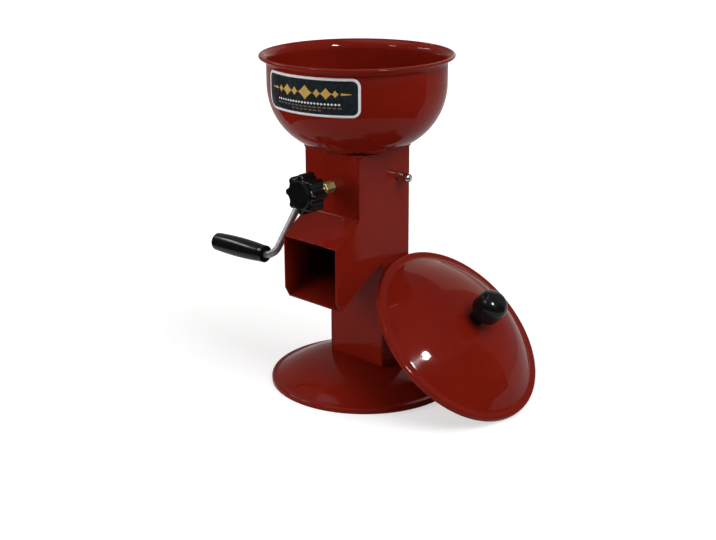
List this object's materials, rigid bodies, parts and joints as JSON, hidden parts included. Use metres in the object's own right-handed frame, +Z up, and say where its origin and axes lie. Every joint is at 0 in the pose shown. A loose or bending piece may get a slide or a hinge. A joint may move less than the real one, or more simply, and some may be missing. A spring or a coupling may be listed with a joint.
{
  "type": "crank nutcracker",
  "caption": "Hand-cranked nutcracker: hopper bowl on a square column with a toothed roller, an adjustable jaw and a front chute, on a round pressed foot, with a loose lid.",
  "frame": {"origin": "on the floor under the middle of the round foot", "axes": "+Z up, -Y towards the chute mouth and the star knob, -X towards the crank, +X towards the side where the lid leans"},
  "size_m": [0.3555, 0.234, 0.358],
  "materials": {
    "red_paint": "gloss",
    "black_plastic": "gloss",
    "chrome": "polished",
    "yellow_zinc": "satin",
    "cast_iron": "satin",
    "bronze": "satin",
    "steel": "satin"
  },
  "bodies": {
    "frame": {"foot_dish": "red_paint", "foot_plate": "red_paint", "foot_bolts": "steel", "foot_washers": "steel", "foot_nuts": "steel", "left_cheek": "red_paint", "right_cheek": "red_paint", "front_panel": "red_paint", "rear_panel": "red_paint", "post_panel": "red_paint", "chute_floor": "red_paint", "throat_plate": "red_paint", "hopper_bowl": "red_paint", "hopper_screws": "steel", "hopper_nuts": "steel", "left_bush": "bronze", "right_bush": "bronze", "left_guide": "steel", "right_guide": "steel", "adjuster_nut": "yellow_zinc"},
    "crank": {"crank_rod": "chrome", "cracking_roller": "cast_iron", "roller_pin": "steel", "shaft_washers": "steel", "shaft_cap": "chrome", "grip_washer": "steel", "grip_screw": "steel"},
    "grip": {"crank_grip": "black_plastic"},
    "jaw": {"jaw_block": "cast_iron"},
    "adjuster": {"adjuster_screw": "yellow_zinc", "screw_clip": "steel", "star_knob": "black_plastic"},
    "lid": {"lid_shell": "red_paint", "lid_knob": "black_plastic", "lid_washer": "steel", "lid_screw": "steel"}
  },
  "joints": [
    {"name": "crank_swing", "type": "hinge", "parent": "frame", "child": "crank", "pos_m": [0, 0.0122, 0.2315], "axis": [1, 0, 0], "range_deg": [-89, 189]},
    {"name": "grip_spin", "type": "hinge", "parent": "crank", "child": "grip", "pos_m": [-0.076, -0.06211, 0.13639], "axis": [-0.9997, -0.0161, -0.0206], "continuous": true},
    {"name": "jaw_slide", "type": "slide", "parent": "frame", "child": "jaw", "axis": [0, 1, 0], "range_m": [-0.01, 0.0075]},
    {"name": "adjuster_turn", "type": "hinge", "parent": "jaw", "child": "adjuster", "pos_m": [0, -0.0955, 0.2255], "axis": [0, 1, 0], "range_deg": [-3601, 2701]},
    {"name": "lid_lift", "type": "slide", "parent": "frame", "child": "lid", "axis": [0.6967, 0.0646, 0.7145], "range_m": [0, 0.12]}
  ],
  "couplings": [
    {"joint": "adjuster_turn", "follows": "jaw_slide", "rad_per_m": 6283.2}
  ]
}
